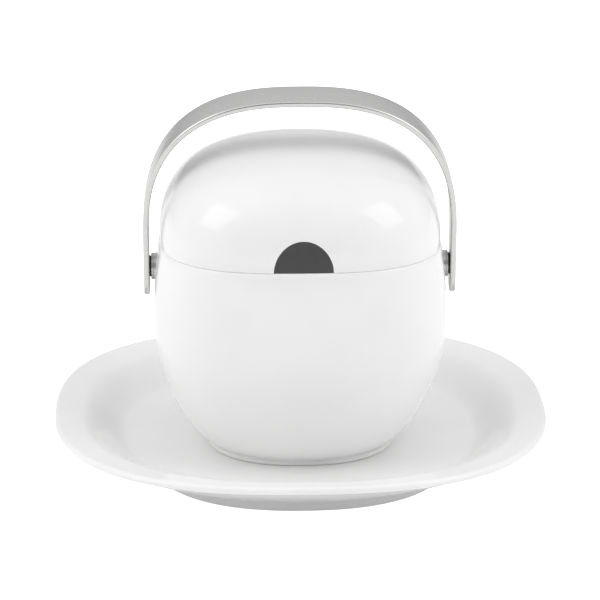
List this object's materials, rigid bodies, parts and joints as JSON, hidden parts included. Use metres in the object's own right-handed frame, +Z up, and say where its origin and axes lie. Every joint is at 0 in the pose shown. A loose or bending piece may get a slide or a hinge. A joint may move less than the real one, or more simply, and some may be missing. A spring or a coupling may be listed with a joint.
{
  "type": "lidded sugar bowl",
  "caption": "Rounded-square lidded porcelain bowl with a spoon notch and a swing handle of flat steel strap, standing on its saucer.",
  "frame": {"origin": "middle of the saucer's foot, on the surface that the set stands on", "axes": "+Z up, the spoon notch in the lid faces -Y, the handle's pivots lie on a line along X"},
  "size_m": [0.1514, 0.1514, 0.1188],
  "materials": {
    "porcelain": "gloss",
    "strap_steel": "satin",
    "stud_steel": "satin",
    "boss_steel": "satin",
    "nut_steel": "polished",
    "friction_washer": "matt",
    "seal_rubber": "matt",
    "sleeve_plastic": "matt"
  },
  "bodies": {
    "saucer_body": {"saucer": "porcelain"},
    "bowl_body": {"bowl": "porcelain", "left_washer": "friction_washer", "right_washer": "friction_washer", "left_boss": "boss_steel", "right_boss": "boss_steel", "left_sleeve": "sleeve_plastic", "right_sleeve": "sleeve_plastic", "left_seal": "seal_rubber", "right_seal": "seal_rubber"},
    "lid_body": {"lid": "porcelain"},
    "handle_body": {"handle_strap": "strap_steel", "left_stud": "stud_steel", "right_stud": "stud_steel", "left_nut": "nut_steel", "right_nut": "nut_steel"}
  },
  "joints": [
    {"name": "bowl_lift", "type": "slide", "parent": "saucer_body", "child": "bowl_body", "axis": [0, 0, 1], "range_m": [0, 0.06]},
    {"name": "lid_lift", "type": "slide", "parent": "bowl_body", "child": "lid_body", "axis": [0, 0, 1], "range_m": [0, 0.008]},
    {"name": "handle_swing", "type": "hinge", "parent": "bowl_body", "child": "handle_body", "pos_m": [0, 0, 0.0631], "axis": [1, 0, 0], "range_deg": [-124, 113]}
  ]
}
